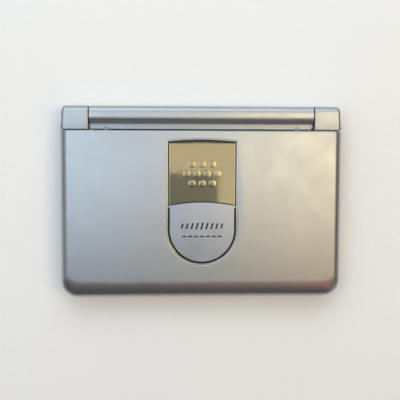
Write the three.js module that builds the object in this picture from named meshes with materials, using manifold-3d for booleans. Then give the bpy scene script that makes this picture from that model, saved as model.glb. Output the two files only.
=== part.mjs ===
// A clamshell pocket electronic dictionary, closed and lying flat on its feet. Millimetres.
// X runs along the hinge, +Y towards the hinge, +Z up; the origin is under the middle, at the feet.
// The barrel across the back belongs to the base, and the two flat-topped knuckles turn with the lid.
import * as THREE from 'three';
import { mergeVertices } from 'three/addons/utils/BufferGeometryUtils.js';
import Module from 'manifold-3d';

const wasm = await Module();
wasm.setup();

// ---- Driving dimensions -------------------------------------------------------------------------
const WIDTH = 143;
const DEPTH = 97.5;
const FRONT = -DEPTH / 2;
const REAR = DEPTH / 2;
const HALF = WIDTH / 2;
const GAP = 0.3; // between separate mouldings
const FIT = 0.1; // between glued or running faces

const FOOT_HEIGHT = 0.8;
const TRAY_TOP = 8;
const DECK_BOTTOM = TRAY_TOP + 0.2;
const DECK_TOP = 10.2;
const LID_BOTTOM = DECK_TOP + GAP;
const LID_TOP = 17.8;

const CORNER = 8.5; // plan radius of the two front corners
const REAR_CORNER = 3;
const WALL = 1.3;
const FLOOR_TOP = FOOT_HEIGHT + 1.1;
const TRAY_ROLL = { width: 1.8, height: 2.2 };
const LID_ROLL = { width: 3.6, height: 5 };

const HINGE = { y: REAR - 4.35, z: 12, radius: 4.35 };
const BARREL_HALF = 56.8;
const KNUCKLE_CLEAR = 5.2; // radius that the knuckles sweep in the base's rear corners
const STRIP = { front: 36.9, z: 13.2 };
const PIN = { radius: 1.5, from: 52, to: 66 };

const LID = { half: 71.2, front: FRONT + 0.6, rear: 36.4 };
const SCREEN = { half: 54, front: -39.5, rear: 28.5 };
const BADGE = { half: 17.8, top: 32.2, shoulder: 31.2, centre: -13.6, floor: 16.7 };
const SPLIT = { y: 0.3, radius: 80 }; // the arc between the two halves of the badge

const CELL = { radius: 5.25, y: 41.8, z: 7.1, clear: 5.4 };
const COVER = { half: 49, front: 33.4, top: 1.7 };
const BOARD = { half: 61, front: -43.5, rear: 33, bottom: 5.2, top: 6 };
const SHEET_TOP = 6.6;
const PLATE = { half: 65.7, front: -44.2, rear: 29.7, bottom: 8.4, top: 9.3 };
const KEY_TOP = 10;
const RUNNER = { bottom: 7.4, top: 8, width: 3 };

const STYLUS = { x: 64.5, z: 4, radius: 1.6, tip: -38, end: 48.1 };
const CARD = { y: 8, half: 13, bottom: 3.1, top: 6.5 };
const USB = { y: -14.5, half: 3.9, bottom: 3.4, top: 7.2 };
const JACK = { y: -27, z: 5.1, radius: 2.8, bore: 1.8 };
const WHEEL = { x: 66.4, y: 20, radius: 4.9, bottom: 6, top: 7.7, teeth: 28 };
const SWITCH = { y: -7, bottom: 5.5, top: 7.3, travel: 2.4 };

// ---- Colours ------------------------------------------------------------------------------------
const finish = (color, roughness, metalness = 0) => ({ color, roughness, metalness });
const SILVER_PAINT = finish(0xb9bec4, 0.42, 0.55);
const INNER_SILVER = finish(0xaeb2b6, 0.5, 0.3);
const DARK_PLASTIC = finish(0x2d3034, 0.55);
const KEY_PLASTIC = finish(0xe4e6e8, 0.45);
const GREY_KEY = finish(0x6f767e, 0.45);
const RUBBER = finish(0x1d1e20, 0.85);
const STEEL = finish(0xb4b6b8, 0.35, 0.9);
const GOLD_MIRROR = finish(0xc3ad7c, 0.08, 0.95);
const CHROME = finish(0xd8dadd, 0.12, 1);
const GLASS = finish(0x9fa8a4, 0.1);
const BOARD_GREEN = finish(0x2f6b45, 0.5);
const CELL_WRAP = finish(0x8d6b2f, 0.35, 0.3);

// ---- Solids -------------------------------------------------------------------------------------
const group = new THREE.Group();

function toSolid(geometry) {
  const bare = geometry.clone();
  bare.deleteAttribute('normal');
  bare.deleteAttribute('uv');
  const merged = mergeVertices(bare, 1e-5);
  return new wasm.Manifold(new wasm.Mesh({
    numProp: 3,
    vertProperties: new Float32Array(merged.attributes.position.array),
    triVerts: new Uint32Array(merged.index.array),
  }));
}

function toGeometry(solid) {
  const mesh = solid.getMesh();
  const geometry = new THREE.BufferGeometry();
  geometry.setAttribute('position', new THREE.BufferAttribute(mesh.vertProperties, 3));
  geometry.setIndex(new THREE.BufferAttribute(mesh.triVerts, 1));
  geometry.computeVertexNormals();
  return geometry;
}

const join = (first, ...rest) => rest.reduce((sum, piece) => sum.add(piece), first);
const cut = (first, ...rest) => rest.reduce((left, piece) => left.subtract(piece), first);

function addNode(name, solid, look) {
  const material = new THREE.MeshStandardMaterial(look);
  const mesh = new THREE.Mesh(toGeometry(solid), material);
  mesh.name = name;
  group.add(mesh);
}

// A box between two corners.
function box([x0, y0, z0], [x1, y1, z1]) {
  const geometry = new THREE.BoxGeometry(x1 - x0, y1 - y0, z1 - z0);
  geometry.translate((x0 + x1) / 2, (y0 + y1) / 2, (z0 + z1) / 2);
  return toSolid(geometry);
}

// An upright cylinder or cone frustum.
function disc(x, y, z0, z1, radius, segments = 24, topRadius = radius) {
  const geometry = new THREE.CylinderGeometry(topRadius, radius, z1 - z0, segments);
  geometry.rotateX(Math.PI / 2);
  geometry.translate(x, y, (z0 + z1) / 2);
  return toSolid(geometry);
}

// A cylinder along X.
function rodX(x0, x1, y, z, radius, segments = 24) {
  const geometry = new THREE.CylinderGeometry(radius, radius, x1 - x0, segments);
  geometry.rotateZ(Math.PI / 2);
  geometry.translate((x0 + x1) / 2, y, z);
  return toSolid(geometry);
}

// A solid of revolution along Y, from a profile of [radius, y] points that starts and ends on the axis.
function turnedY(profile, x, z, segments = 20) {
  const geometry = new THREE.LatheGeometry(profile.map(([r, y]) => new THREE.Vector2(r, y)), segments);
  geometry.translate(x, 0, z);
  return toSolid(geometry);
}

// A rectangle in plan with its own radius at the front and rear corners.
function rectangle(x0, x1, y0, y1, front, rear = front) {
  const shape = new THREE.Shape();
  shape.moveTo(x0 + front, y0);
  shape.lineTo(x1 - front, y0);
  shape.absarc(x1 - front, y0 + front, front, -Math.PI / 2, 0, false);
  shape.lineTo(x1, y1 - rear);
  shape.absarc(x1 - rear, y1 - rear, rear, 0, Math.PI / 2, false);
  shape.lineTo(x0 + rear, y1);
  shape.absarc(x0 + rear, y1 - rear, rear, Math.PI / 2, Math.PI, false);
  shape.lineTo(x0, y0 + front);
  shape.absarc(x0 + front, y0 + front, front, Math.PI, 1.5 * Math.PI, false);
  return shape;
}

// A plan outline raised from z0 to z1. A roll rounds both ends inwards from the outline.
function raise(shape, z0, z1, { curveSegments = 4, roll = null, steps = 3 } = {}) {
  const edge = roll ?? { width: 0, height: 0 };
  const geometry = new THREE.ExtrudeGeometry(shape, {
    depth: z1 - z0 - 2 * edge.height,
    curveSegments,
    bevelEnabled: roll !== null,
    bevelSize: edge.width,
    bevelOffset: -edge.width,
    bevelThickness: edge.height,
    bevelSegments: steps,
  });
  geometry.translate(0, 0, z0 + edge.height);
  return toSolid(geometry);
}

// A section drawn in Y and Z, carried along X.
function alongX(section, x0, x1, bevel = 0, curveSegments = 10) {
  const geometry = new THREE.ExtrudeGeometry(section, {
    depth: x1 - x0 - 2 * bevel,
    curveSegments,
    bevelEnabled: bevel > 0,
    bevelSize: bevel,
    bevelOffset: -bevel,
    bevelThickness: bevel,
    bevelSegments: 2,
  });
  geometry.translate(0, 0, x0 + bevel);
  // Section x, y and depth z become Y, Z and X.
  geometry.applyMatrix4(new THREE.Matrix4().set(0, 0, 1, 0, 1, 0, 0, 0, 0, 1, 0, 0, 0, 0, 0, 1));
  return toSolid(geometry);
}

const everything = 200;
const below = (z) => box([-everything, -everything, -everything], [everything, everything, z]);
const above = (z) => box([-everything, -everything, z], [everything, everything, everything]);

// ---- Base: tray, deck and hinge barrel ----------------------------------------------------------
const SCREWS = [[-52, -38], [52, -38], [-54, 29], [54, 29]];
const FEET = [[-60, -39], [60, -39], [-60, 40], [60, 40]];
const HEAD = { radius: 2, top: 2.1, clear: 2.3, shank: 0.9, bore: 1.2, end: 4.5 };
const SPEAKER = { x: -34, y: -22, radius: 9.6, bottom: 2.2, top: 4.9 };
const sweptByKnuckles = [-1, 1].map((side) => {
  const [inner, outer] = [side * (BARREL_HALF + 0.15), side * everything].sort((a, b) => a - b);
  return rodX(inner, outer, HINGE.y, HINGE.z, KNUCKLE_CLEAR, 48);
});
const cellRoom = rodX(-48.9, 48.9, CELL.y, CELL.z, CELL.clear, 32);

function makeTray() {
  const outline = rectangle(-HALF, HALF, FRONT, REAR - 0.45, CORNER, REAR_CORNER);
  const full = raise(outline, FOOT_HEIGHT, TRAY_TOP + 10, { curveSegments: 8, roll: TRAY_ROLL, steps: 4 });
  const inner = HALF - WALL;
  const inside = rectangle(-inner, inner, FRONT + WALL, 35.9, CORNER - WALL, 1);
  const bay = box([-55, 30, FLOOR_TOP], [55, 47.2, everything]);
  const cavity = raise(inside, FLOOR_TOP, everything, { curveSegments: 5 }).add(bay);
  const bosses = SCREWS.map(([x, y]) => disc(x, y, FOOT_HEIGHT + 0.4, HEAD.end + 0.4, 3, 20));
  const screwRoom = SCREWS.flatMap(([x, y]) => [
    disc(x, y, -1, HEAD.top + GAP, HEAD.clear, 20),
    disc(x, y, 0, HEAD.end + 1, HEAD.bore, 16),
  ]);
  const slots = [-2, -1, 0, 1, 2].map((row) => {
    const half = 6 - 0.7 * row * row;
    const y = SPEAKER.y + 2.4 * row;
    return box([SPEAKER.x - half, y - 0.5, -1], [SPEAKER.x + half, y + 0.5, FLOOR_TOP + 0.2]);
  });
  const coverWay = box([-COVER.half - GAP, COVER.front - GAP, -1], [COVER.half + GAP, 60, COVER.top + FIT]);
  const cellWay = box([-48.6, 36.2, 0], [48.6, 47.2, everything]);
  const sidePorts = [
    box([-80, CARD.y - CARD.half - GAP, CARD.bottom - GAP], [-65, CARD.y + CARD.half + GAP, CARD.top + GAP]),
    box([-80, USB.y - USB.half - GAP, USB.bottom - GAP], [-65, USB.y + USB.half + GAP, USB.top + GAP]),
    rodX(-80, -65, JACK.y, JACK.z, JACK.radius + GAP, 24),
    box([65, WHEEL.y - 4.4, WHEEL.bottom - GAP], [80, WHEEL.y + 4.4, everything]),
    box([65, SWITCH.y - 3, SWITCH.bottom - GAP], [80, SWITCH.y + 3 + SWITCH.travel, SWITCH.top + GAP]),
  ];
  const stylusWay = turnedY([[0, 30], [1.9, 30], [1.9, 60], [0, 60]], STYLUS.x, STYLUS.z);
  const shell = join(cut(full, cavity), ...bosses);
  return cut(shell, above(TRAY_TOP), ...sweptByKnuckles, ...screwRoom, ...slots, coverWay, cellWay,
    ...sidePorts, stylusWay);
}

function makeDeck() {
  const outline = rectangle(-HALF, HALF, FRONT, 41, CORNER, 0.5);
  const plate = raise(outline, DECK_BOTTOM, DECK_TOP, { curveSegments: 8 });
  const edge = { half: PLATE.half + GAP, front: PLATE.front - GAP, rear: PLATE.rear + GAP };
  const window = raise(rectangle(-edge.half, edge.half, edge.front, edge.rear, 2), 0, 20);
  const behind = box([-BARREL_HALF - GAP, STRIP.front - GAP, 0], [BARREL_HALF + GAP, 60, 20]);
  const power = keyHole(POWER_KEY);
  return cut(plate, window, behind, cellRoom, ...sweptByKnuckles, power);
}

// The barrel is a round back over the battery bay, with a low strip in front of it.
function makeBarrel() {
  const section = new THREE.Shape();
  const meet = Math.PI - Math.asin((STRIP.z - HINGE.z) / HINGE.radius);
  const back = REAR - 0.45;
  const rearAngle = -Math.acos((back - HINGE.y) / HINGE.radius);
  section.moveTo(STRIP.front, DECK_BOTTOM);
  section.lineTo(back, DECK_BOTTOM);
  section.lineTo(back, HINGE.z + HINGE.radius * Math.sin(rearAngle));
  section.absarc(HINGE.y, HINGE.z, HINGE.radius, rearAngle, meet, false);
  section.lineTo(STRIP.front + 0.5, STRIP.z);
  section.lineTo(STRIP.front, STRIP.z - 0.5);
  const body = alongX(section, -BARREL_HALF, BARREL_HALF, 0, 14);
  const bores = [-1, 1].map((side) => {
    const ends = [side * (PIN.from - 0.5), side * 60].sort((a, b) => a - b);
    return rodX(ends[0], ends[1], HINGE.y, HINGE.z, PIN.radius + FIT);
  });
  const notches = [-48.8, 48.8].map((x) => disc(x, STRIP.front, STRIP.z - 1.2, 20, 1.3, 16));
  return cut(body, cellRoom, ...bores, ...notches);
}

// ---- Keys: caps that stand in a dark face plate, each row on one moulded runner -------------------
const row = (y, x0, pitch, count, width, depth) => (
  Array.from({ length: count }, (_, i) => ({ x: x0 + i * pitch, y, width, depth })));
const POWER_KEY = { x: -60, y: 33.4, width: 9, depth: 3 };
const KEY_SETS = {
  menu_keys_rear: row(25.2, -57, 13.4, 9, 11.6, 4.8),
  menu_keys_front: row(18.4, -57, 13.4, 9, 11.6, 4.8),
  letter_keys_top: row(9.2, -60, 9.9, 10, 8.2, 7.4),
  letter_keys_middle: row(-0.4, -57.6, 9.9, 9, 8.2, 7.4),
  letter_keys_bottom: row(-10, -55, 9.9, 9, 8.2, 7.4),
  enter_key: [{ x: 49.5, y: -24, width: 22, depth: 7.6 }],
  back_key: [{ x: 43.5, y: -36, width: 10, depth: 8 }],
  jump_key: [{ x: 55.5, y: -36, width: 10, depth: 8 }],
};
const SIDE_KEYS = {
  shift_keys: [-22, -35].map((y) => ({ x: -58.5, y, width: 9.6, depth: 8 })),
  sound_keys: [-22, -35].map((y) => ({ x: 29, y, width: 9.6, depth: 8 })),
};
const PAGE_ROCKER = { x: 49.5, y: 10.2, width: 20, depth: 5.4 };
const CURSOR = { x: 49.5, y: -6.5, radius: 10.8, hole: 4.3, select: 3.9 };
const PAD = { x0: -50, x1: 20, y0: -40.5, y1: -17 };

function keyHole({ x, y, width, depth }, clear = GAP) {
  const [w, d] = [width / 2 + clear, depth / 2 + clear];
  return box([x - w, y - d, 0], [x + w, y + d, 20]);
}

function keyCap({ x, y, width, depth }) {
  const [w, d] = [width / 2, depth / 2];
  const corners = [[-w, -d], [w, -d], [w, d], [-w, d]].map(([dx, dy]) => new THREE.Vector2(x + dx, y + dy));
  const edge = { width: 0.35, height: 0.25 };
  return raise(new THREE.Shape(corners), RUNNER.bottom + 0.3, KEY_TOP, { roll: edge, steps: 1 });
}

function runner(keys) {
  const xs = keys.map((key) => key.x);
  const ys = keys.map((key) => key.y);
  const half = RUNNER.width / 2;
  return box([Math.min(...xs) - half, Math.min(...ys) - half, RUNNER.bottom],
    [Math.max(...xs) + half, Math.max(...ys) + half, RUNNER.top]);
}

const keySet = (keys) => join(runner(keys), ...keys.map(keyCap));

function makeKeyPlate() {
  const { half, front, rear, bottom, top } = PLATE;
  const plate = raise(rectangle(-half, half, front, rear, 1.7), bottom, top);
  const keys = [...Object.values(KEY_SETS), ...Object.values(SIDE_KEYS)].flat();
  const pad = box([PAD.x0 - GAP, PAD.y0 - GAP, 0], [PAD.x1 + GAP, PAD.y1 + GAP, 20]);
  const cursor = disc(CURSOR.x, CURSOR.y, 0, 20, CURSOR.radius + GAP, 40);
  return cut(plate, ...keys.map((key) => keyHole(key)), keyHole(PAGE_ROCKER, 0.5), pad, cursor);
}

function makeCursorPad() {
  const { x, y, radius, hole } = CURSOR;
  const dish = disc(x, y, RUNNER.bottom, KEY_TOP, radius, 40, radius - 0.5);
  return cut(dish, disc(x, y, 0, 20, hole, 28));
}

// ---- Lid -----------------------------------------------------------------------------------------
// The badge outline: straight sides, a half circle at the front and a gentle arch at the rear.
function badgeShape(inset) {
  const half = BADGE.half - inset;
  const rise = BADGE.top - BADGE.shoulder;
  const arch = (BADGE.half ** 2 + rise ** 2) / (2 * rise);
  const centre = BADGE.top - arch;
  const radius = arch - inset;
  const lean = Math.asin(half / radius);
  const shape = new THREE.Shape();
  shape.absarc(0, BADGE.centre, half, Math.PI, 2 * Math.PI, false);
  shape.lineTo(half, centre + radius * Math.cos(lean));
  shape.absarc(0, centre, radius, Math.PI / 2 - lean, Math.PI / 2 + lean, false);
  return shape;
}

const badgeSlab = (inset, z0, z1) => raise(badgeShape(inset), z0, z1, { curveSegments: 18 });
const splitDisc = (shift) => disc(0, SPLIT.y - SPLIT.radius + shift, -1, 31, SPLIT.radius, 240);
const behindSplit = (shift) => box([-30, SPLIT.y - 8, 0], [30, 60, 30]).subtract(splitDisc(shift));
const aheadOfSplit = (shift) => box([-30, -60, 0], [30, SPLIT.y + 2, 30]).intersect(splitDisc(shift));

function rolledLid(inset, top) {
  const { half, front, rear } = LID;
  const shape = rectangle(-half + inset, half - inset, front + inset, rear + 12, CORNER - inset - 0.4, 6);
  const roll = { width: LID_ROLL.width - inset / 2, height: LID_ROLL.height - inset / 2 };
  const solid = raise(shape, LID_BOTTOM - 12, top, { curveSegments: 5, roll, steps: 5 });
  return solid.subtract(below(LID_BOTTOM - (inset > 0 ? 1 : 0)))
    .subtract(box([-100, rear - inset, 0], [100, 100, 30]));
}

function makeLidCover() {
  const shell = cut(rolledLid(0, LID_TOP), rolledLid(WALL, LID_TOP - WALL));
  const pad = badgeSlab(-2, BADGE.floor - 1, LID_TOP - 0.5);
  const tongues = [-1, 1].map((side) => {
    const x = [side * 59.2, side * 69].sort((a, b) => a - b);
    return box([x[0], 30, 12.3], [x[1], 40, 15.8]);
  });
  return cut(shell.add(pad), badgeSlab(-GAP, BADGE.floor, 30), ...tongues);
}

function makeLidFrame() {
  const inset = WALL + GAP;
  const outline = rectangle(-LID.half + inset, LID.half - inset, LID.front + inset, LID.rear - inset, 6.3, 1);
  const plate = raise(outline, LID_BOTTOM, 12.1, { curveSegments: 6 });
  const { half, front, rear } = SCREEN;
  const view = raise(rectangle(-half, half, front, rear, 1.5), 0, 20);
  const rebate = box([-half - 2.3, front - 2.3, 11.1], [half + 2.3, rear + 2.3, 20]);
  const bumperRoom = BUMPERS.map(([, x, y]) => disc(x, y, 0, 11.3, 2.3, 20));
  return cut(plate, view, rebate, ...bumperRoom);
}

// A knuckle has a flat top, a rounded back and a round underside about the hinge axis.
function makeKnuckle(side) {
  const section = new THREE.Shape();
  const top = HINGE.z + HINGE.radius;
  const front = LID.rear + 0.4;
  const back = HINGE.y + HINGE.radius;
  const nose = 3;
  const under = Math.asin((LID_BOTTOM - HINGE.z) / HINGE.radius);
  section.moveTo(front, LID_BOTTOM);
  section.lineTo(HINGE.y - HINGE.radius * Math.cos(under), LID_BOTTOM);
  section.absarc(HINGE.y, HINGE.z, HINGE.radius, Math.PI - under, 2 * Math.PI, false);
  section.absarc(back - nose, top - nose, nose, 0, Math.PI / 2, false);
  section.lineTo(front, top);
  const x = [side * (BARREL_HALF + GAP), side * (LID.half - GAP)].sort((a, b) => a - b);
  const body = alongX(section, x[0], x[1], 0.45, 6);
  const tongueX = [side * 59.6, side * 68.4].sort((a, b) => a - b);
  const tongue = box([tongueX[0], 30.5, 12.6], [tongueX[1], front + 3, 15.4]);
  const boreX = [side * 50, side * (PIN.to + GAP)].sort((a, b) => a - b);
  return cut(body.add(tongue), rodX(boreX[0], boreX[1], HINGE.y, HINGE.z, PIN.radius + FIT));
}

function makeHingePin(side) {
  const ends = [side * PIN.from, side * PIN.to].sort((a, b) => a - b);
  return rodX(ends[0], ends[1], HINGE.y, HINGE.z, PIN.radius);
}

const BUMPERS = [['lid_bumper_left', -64.5, -38], ['lid_bumper_right', 64.5, -38]];

// ---- Inside the base -----------------------------------------------------------------------------
function makeMainBoard() {
  const board = box([-BOARD.half, BOARD.front, BOARD.bottom], [BOARD.half, BOARD.rear, BOARD.top]);
  const cardRoom = box([-70, CARD.y - 14, 0], [-40, CARD.y + 14, 10]);
  return cut(board, cardRoom);
}

function makeHeadphoneJack() {
  const body = box([-69.7, JACK.y - 3.2, 2.4], [-63.7, JACK.y + 3.2, 7.6]);
  const collar = rodX(-71.3, -69, JACK.y, JACK.z, JACK.radius);
  return cut(body.add(collar), rodX(-80, -64.5, JACK.y, JACK.z, JACK.bore, 20));
}

function makeUsbSocket() {
  const shell = box([-71.2, USB.y - USB.half, USB.bottom], [-63, USB.y + USB.half, USB.top]);
  const mouth = box([-80, USB.y - USB.half + 0.4, USB.bottom + 0.4],
    [-65, USB.y + USB.half - 0.4, USB.top - 0.4]);
  const tongue = box([-70.4, USB.y - 2, 5.1], [-64.5, USB.y + 2, 5.7]);
  return cut(shell, mouth).add(tongue);
}

function makeCardSocket() {
  const shell = box([-69.7, CARD.y - CARD.half, 3.1], [-41, CARD.y + CARD.half, 6]);
  return cut(shell, box([-80, CARD.y - 12.1, 3.4], [-43, CARD.y + 12.1, 5.6]));
}

// A conical contact spring that is wound from round wire.
function makeBatterySpring() {
  const turns = 3;
  const points = Array.from({ length: turns * 10 + 1 }, (_, i) => {
    const angle = (i / 10) * 2 * Math.PI;
    const radius = 3.4 - (1.6 * i) / (turns * 10);
    return new THREE.Vector3(-48.2 + (2.2 * i) / (turns * 10),
      CELL.y + radius * Math.cos(angle), CELL.z + radius * Math.sin(angle));
  });
  const wire = new THREE.Shape();
  wire.absarc(0, 0, 0.25, 0, 2 * Math.PI, false);
  return toSolid(new THREE.ExtrudeGeometry(wire, {
    steps: turns * 12, curveSegments: 3, extrudePath: new THREE.CatmullRomCurve3(points),
  }));
}

function makeCell(x0, x1) {
  const can = rodX(x0, x1 - 1, CELL.y, CELL.z, CELL.radius, 32);
  return can.add(rodX(x1 - 1.2, x1, CELL.y, CELL.z, 1.9, 16));
}

function makeFoot([x, y]) {
  return disc(x, y, 0, FOOT_HEIGHT - FIT, 3.7, 28, 4);
}

function makeScrew([x, y]) {
  const head = disc(x, y, FOOT_HEIGHT + 0.3, HEAD.top, HEAD.radius, 20);
  const shank = disc(x, y, HEAD.top - 0.1, HEAD.end, HEAD.shank, 14);
  const cross = [[1.2, 0.25], [0.25, 1.2]].map(([w, d]) => (
    box([x - w, y - d, 0], [x + w, y + d, FOOT_HEIGHT + 0.8])));
  return cut(head.add(shank), ...cross);
}

// ---- Pieces that move ----------------------------------------------------------------------------
function makeBatteryCover() {
  const { half, front, top } = COVER;
  const plate = box([-half, front, FOOT_HEIGHT], [half, REAR - 1.6, top]);
  const grips = Array.from({ length: 5 }, (_, i) => (
    box([-7, front + 3 + 1.4 * i, 0], [7, front + 3.6 + 1.4 * i, FOOT_HEIGHT + 0.3])));
  return cut(plate, ...grips);
}

function makeStylus() {
  const { radius, tip, end } = STYLUS;
  const profile = [[0, tip], [0.5, tip + 0.4], [1.3, tip + 6], [radius, tip + 7], [radius, end - 6],
    [1.25, end - 5.4], [1.25, end - 4.4], [radius, end - 3.8], [radius, end - 0.6], [1.1, end], [0, end]];
  return turnedY(profile, STYLUS.x, STYLUS.z);
}

function makeVolumeWheel() {
  const { x, y, radius, bottom, top, teeth } = WHEEL;
  const shape = new THREE.Shape();
  for (let i = 0; i < 2 * teeth; i += 1) {
    const angle = (i * Math.PI) / teeth;
    const r = i % 2 === 0 ? radius : radius - 0.35;
    const place = i === 0 ? 'moveTo' : 'lineTo';
    shape[place](x + r * Math.cos(angle), y + r * Math.sin(angle));
  }
  return cut(raise(shape, bottom, top), disc(x, y, 0, 20, 1.2, 16));
}

function makeSoundSwitch() {
  const { y, bottom, top } = SWITCH;
  const knob = box([69.2, y - 1.7, bottom], [71.4, y + 1.7, top]);
  const carrier = box([67.4, y - 2.6, bottom], [69.4, y + 2.6, top]);
  const ribs = [-1, 0, 1].map((i) => box([71.1, y + i - 0.2, 0], [80, y + i + 0.2, 20]));
  return cut(knob.add(carrier), ...ribs);
}

// ---- Assembly ------------------------------------------------------------------------------------
addNode('base_tray', makeTray(), SILVER_PAINT);
addNode('base_deck', makeDeck(), INNER_SILVER);
addNode('hinge_barrel', makeBarrel(), SILVER_PAINT);
addNode('key_plate', makeKeyPlate(), DARK_PLASTIC);
addNode('handwriting_pad', box([PAD.x0, PAD.y0, 7.4], [PAD.x1, PAD.y1, 9.1]), GLASS);
addNode('main_board', makeMainBoard(), BOARD_GREEN);
addNode('contact_sheet', box([-BOARD.half, -43, BOARD.top + FIT], [BOARD.half, 32, SHEET_TOP]), RUBBER);
addNode('speaker', disc(SPEAKER.x, SPEAKER.y, SPEAKER.bottom, SPEAKER.top, SPEAKER.radius, 32), STEEL);
addNode('battery_cell_left', makeCell(-45.6, -1), CELL_WRAP);
addNode('battery_cell_right', makeCell(-0.6, 44), CELL_WRAP);
addNode('battery_spring', makeBatterySpring(), STEEL);
addNode('battery_contact', box([44.6, 38.6, 3.4], [45.2, 45, 10.6]), STEEL);
addNode('card_socket', makeCardSocket(), STEEL);
addNode('usb_socket', makeUsbSocket(), STEEL);
addNode('headphone_jack', makeHeadphoneJack(), DARK_PLASTIC);
['front_left', 'front_right', 'rear_left', 'rear_right'].forEach((place, i) => {
  addNode(`foot_${place}`, makeFoot(FEET[i]), RUBBER);
  addNode(`case_screw_${place}`, makeScrew(SCREWS[i]), STEEL);
});

addNode('lid_cover', makeLidCover(), SILVER_PAINT);
addNode('lid_frame', makeLidFrame(), INNER_SILVER);
addNode('knuckle_left', makeKnuckle(-1), SILVER_PAINT);
addNode('knuckle_right', makeKnuckle(1), SILVER_PAINT);
addNode('hinge_pin_left', makeHingePin(-1), STEEL);
addNode('hinge_pin_right', makeHingePin(1), STEEL);
addNode('screen_window', box([-SCREEN.half - 2, SCREEN.front - 2, 11.2],
  [SCREEN.half + 2, SCREEN.rear + 2, 12]), GLASS);
addNode('lcd_panel', box([-SCREEN.half - 3, SCREEN.front - 3, 12.4],
  [SCREEN.half + 3, SCREEN.rear + 4, 14.4]), DARK_PLASTIC);
addNode('lcd_backplate', box([-SCREEN.half - 3, SCREEN.front - 3, 14.6],
  [SCREEN.half + 3, SCREEN.rear + 4, 15.2]), STEEL);
BUMPERS.forEach(([name, x, y]) => addNode(name, disc(x, y, DECK_TOP + 0.06, 11.2, 2, 20), RUBBER));
addNode('badge_trim', cut(badgeSlab(0, BADGE.floor + FIT, LID_TOP), badgeSlab(0.9, 0, 30)), CHROME);
addNode('badge_window', badgeSlab(1.2, BADGE.floor + FIT, LID_TOP - 0.15).intersect(behindSplit(0.15)),
  GOLD_MIRROR);
addNode('badge_plate', badgeSlab(1.9, BADGE.floor + FIT, LID_TOP - 0.1).intersect(aheadOfSplit(-0.15)),
  SILVER_PAINT);

addNode('battery_cover', makeBatteryCover(), SILVER_PAINT);
addNode('stylus', makeStylus(), DARK_PLASTIC);
addNode('card_flap', box([-71.5, CARD.y - CARD.half, CARD.bottom], [-70.5, CARD.y + CARD.half, CARD.top]),
  SILVER_PAINT);
addNode('volume_wheel', makeVolumeWheel(), DARK_PLASTIC);
addNode('sound_switch', makeSoundSwitch(), DARK_PLASTIC);
addNode('power_key', keySet([POWER_KEY]), GREY_KEY);
Object.entries(KEY_SETS).forEach(([name, keys]) => addNode(name, keySet(keys), KEY_PLASTIC));
Object.entries(SIDE_KEYS).forEach(([name, keys]) => addNode(name, keySet(keys), GREY_KEY));
addNode('page_rocker', keyCap(PAGE_ROCKER), GREY_KEY);
addNode('cursor_pad', makeCursorPad(), KEY_PLASTIC);
addNode('select_key', disc(CURSOR.x, CURSOR.y, RUNNER.bottom, KEY_TOP, CURSOR.select, 28, 3.6), GREY_KEY);

export default group;
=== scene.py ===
import math

import bpy
import numpy as np
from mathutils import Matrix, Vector


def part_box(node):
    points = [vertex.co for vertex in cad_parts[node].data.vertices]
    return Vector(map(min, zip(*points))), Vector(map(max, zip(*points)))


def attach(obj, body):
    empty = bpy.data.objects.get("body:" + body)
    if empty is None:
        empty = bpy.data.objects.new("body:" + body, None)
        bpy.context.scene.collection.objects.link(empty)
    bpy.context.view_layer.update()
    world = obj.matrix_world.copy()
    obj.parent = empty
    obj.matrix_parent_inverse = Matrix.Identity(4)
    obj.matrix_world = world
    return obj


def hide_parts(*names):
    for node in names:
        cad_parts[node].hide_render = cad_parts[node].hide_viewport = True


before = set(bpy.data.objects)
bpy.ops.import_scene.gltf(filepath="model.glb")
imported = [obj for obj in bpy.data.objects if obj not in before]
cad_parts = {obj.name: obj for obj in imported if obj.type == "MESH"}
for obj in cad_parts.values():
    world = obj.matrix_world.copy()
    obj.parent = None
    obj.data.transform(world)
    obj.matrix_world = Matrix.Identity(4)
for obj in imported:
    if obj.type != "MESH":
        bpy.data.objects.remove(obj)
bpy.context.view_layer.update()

MM = 0.001
PI = math.pi


def node_box(node):
    """The lowest and highest corner of a CAD node, in millimetres."""
    low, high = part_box(node)
    return np.array(low) / MM, np.array(high) / MM


# ---- Sizes, taken from the frame ------------------------------------------------------------------
LID_LOW, LID_HIGH = node_box("lid_cover")
BARREL_LOW, BARREL_HIGH = node_box("hinge_barrel")
KNUCKLE_HIGH = node_box("knuckle_right")[1]
PIN_LOW, PIN_HIGH = node_box("hinge_pin_right")
CELL_LOW, CELL_HIGH = node_box("battery_cell_left")
BADGE_LOW, BADGE_HIGH = node_box("badge_trim")

HINGE_Y, HINGE_Z = (PIN_LOW[1:] + PIN_HIGH[1:]) / 2
HINGE_R = KNUCKLE_HIGH[1] - HINGE_Y

# The lid: how far its rolled edge comes in on each side, and how high the roll is at its sides and front.
LID_TOP = LID_HIGH[2]
LID_CENTRE = np.array([0.0, -4.0])
LID_HALF_DEPTH = 43.0
LID_CORNER = 8.3
ROLL = {"side": 4.0, "front": 8.6, "height": 5.0, "rear": 0.7}
CROWN = {"x": 0.35, "y": 0.22}

# The badge: a half circle at the front, straight sides, and an arched rear edge that rises by BADGE_RISE.
# Its two halves meet on an arc about a middle that is SPLIT_RADIUS in front of SPLIT_Y.
BADGE_HALF = BADGE_HIGH[0]
BADGE_CENTRE = BADGE_LOW[1] + BADGE_HALF
BADGE_CORNER = 0.9
BADGE_RISE = 1.0
BADGE_FLOOR = BADGE_LOW[2] - 0.05
SPLIT_Y = 0.3
SPLIT_RADIUS = 80.0

# The barrel has a low strip in front of it at STRIP_TOP.
STRIP_TOP = 13.2

# The tone of the wall behind the floor, as the camera sees it.
WALL_TONE = 0.82


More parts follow.
